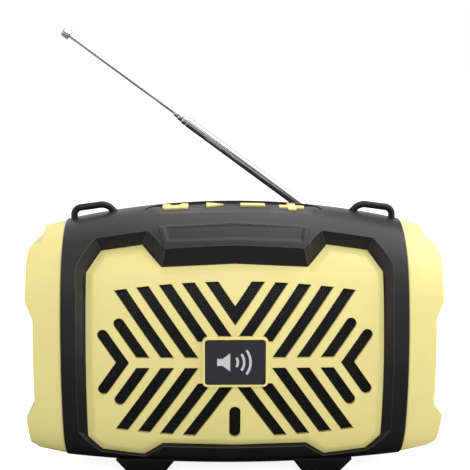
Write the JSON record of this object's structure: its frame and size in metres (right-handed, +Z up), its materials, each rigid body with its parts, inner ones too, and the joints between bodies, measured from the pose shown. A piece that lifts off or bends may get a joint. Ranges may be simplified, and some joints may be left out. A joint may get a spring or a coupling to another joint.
{
  "type": "portable speaker",
  "caption": "Barrel-shaped portable speaker with a slotted grille, roof keys, strap loops, rubber runners and a telescopic antenna.",
  "frame": {"origin": "middle of the ground under the feet, at the centre of the object's plan", "axes": "+X along the barrel to the right as seen from the front, +Y to the back, +Z up; the grille faces -Y"},
  "size_m": [0.2004, 0.0818, 0.2201],
  "materials": {
    "black_shell": "satin black moulded plastic",
    "yellow_plastic": "soft pale yellow moulded plastic",
    "black_mesh": "black painted perforated steel",
    "gloss_black": "smooth black plastic",
    "light_mark": "light grey print",
    "black_key": "soft black key plastic",
    "foot_rubber": "matt black rubber",
    "chrome": "polished chrome plate",
    "steel": "zinc-plated steel",
    "circuit_board": "green solder mask",
    "switch_case": "black switch plastic",
    "tin_shield": "tinned steel",
    "cell_wrap": "blue sleeve on a cell, whose density is that of aluminium",
    "holder_plastic": "dark grey plastic",
    "light_pipe": "red tinted lens",
    "gasket_foam": "closed-cell foam",
    "driver_steel": "black painted pressed steel",
    "cone_paper": "dark paper pulp",
    "magnet_iron": "plated magnet and yoke"
  },
  "bodies": {
    "cabinet": {"antenna_socket": "black_shell", "audio_jack": "gloss_black", "badge_plate": "gloss_black", "badge_symbol": "light_mark", "battery_holder": "holder_plastic", "board_screws": "steel", "cap_screws": "steel", "card_slot": "tin_shield", "case_screws": "steel", "charge_socket": "tin_shield", "control_panel": "black_shell", "driver_screws": "steel", "front_shell": "black_shell", "grille_mesh": "black_mesh", "grille_panel": "yellow_plastic", "key_board": "circuit_board", "key_switches": "switch_case", "left_driver_cone": "cone_paper", "left_driver_frame": "driver_steel", "left_driver_gasket": "gasket_foam", "left_driver_magnet": "magnet_iron", "left_driver_surround": "foot_rubber", "left_end_cap": "yellow_plastic", "left_foot": "foot_rubber", "left_strap_loop": "black_shell", "lower_battery_cell": "cell_wrap", "main_board": "circuit_board", "port_panel": "black_shell", "power_switch_case": "switch_case", "radio_shield": "tin_shield", "rear_shell": "black_shell", "right_driver_cone": "cone_paper", "right_driver_frame": "driver_steel", "right_driver_gasket": "gasket_foam", "right_driver_magnet": "magnet_iron", "right_driver_surround": "foot_rubber", "right_end_cap": "yellow_plastic", "right_foot": "foot_rubber", "right_strap_loop": "black_shell", "status_light": "light_pipe", "upper_battery_cell": "cell_wrap"},
    "call_button": {"call_key": "yellow_plastic"},
    "play_button": {"play_key": "yellow_plastic"},
    "minus_button": {"minus_key": "yellow_plastic"},
    "plus_button": {"plus_key": "yellow_plastic"},
    "antenna_base": {"antenna_swivel": "black_shell", "antenna_screw": "steel", "antenna_hinge_pin": "steel"},
    "mast": {"antenna_tongue": "chrome", "antenna_outer_tube": "chrome"},
    "mast_middle": {"antenna_middle_tube": "chrome"},
    "mast_inner": {"antenna_inner_tube": "chrome"},
    "mast_tip": {"antenna_tip_rod": "chrome", "antenna_knob": "chrome"},
    "power_slider": {"power_switch_slider": "black_key"}
  },
  "joints": [
    {"name": "call_press", "type": "slide", "parent": "cabinet", "child": "call_button", "axis": [0, 0.1305, -0.9914], "range_m": [0, 0.0004], "stiffness_N_per_m": 600},
    {"name": "play_press", "type": "slide", "parent": "cabinet", "child": "play_button", "axis": [0, 0.1305, -0.9914], "range_m": [0, 0.0004], "stiffness_N_per_m": 600},
    {"name": "minus_press", "type": "slide", "parent": "cabinet", "child": "minus_button", "axis": [0, 0.1305, -0.9914], "range_m": [0, 0.0004], "stiffness_N_per_m": 600},
    {"name": "plus_press", "type": "slide", "parent": "cabinet", "child": "plus_button", "axis": [0, 0.1305, -0.9914], "range_m": [0, 0.0004], "stiffness_N_per_m": 600},
    {"name": "antenna_turn", "type": "hinge", "parent": "cabinet", "child": "antenna_base", "pos_m": [0.0457, 0.028, 0.1117], "axis": [0, 0, 1], "range_deg": [-120, 0]},
    {"name": "antenna_tilt", "type": "hinge", "parent": "antenna_base", "child": "mast", "pos_m": [0.0457, 0.028, 0.1217], "axis": [0, 1, 0], "range_deg": [-36.3, 53.7]},
    {"name": "middle_slide", "type": "slide", "parent": "mast", "child": "mast_middle", "axis": [-0.8059, 0, 0.592], "range_m": [0, 0.072]},
    {"name": "inner_slide", "type": "slide", "parent": "mast_middle", "child": "mast_inner", "axis": [-0.8059, 0, 0.592], "range_m": [0, 0.072]},
    {"name": "tip_slide", "type": "slide", "parent": "mast_inner", "child": "mast_tip", "axis": [-0.8059, 0, 0.592], "range_m": [-0.065, 0]},
    {"name": "power_slide", "type": "slide", "parent": "cabinet", "child": "power_slider", "axis": [1, 0, 0], "range_m": [0, 0.002]}
  ]
}
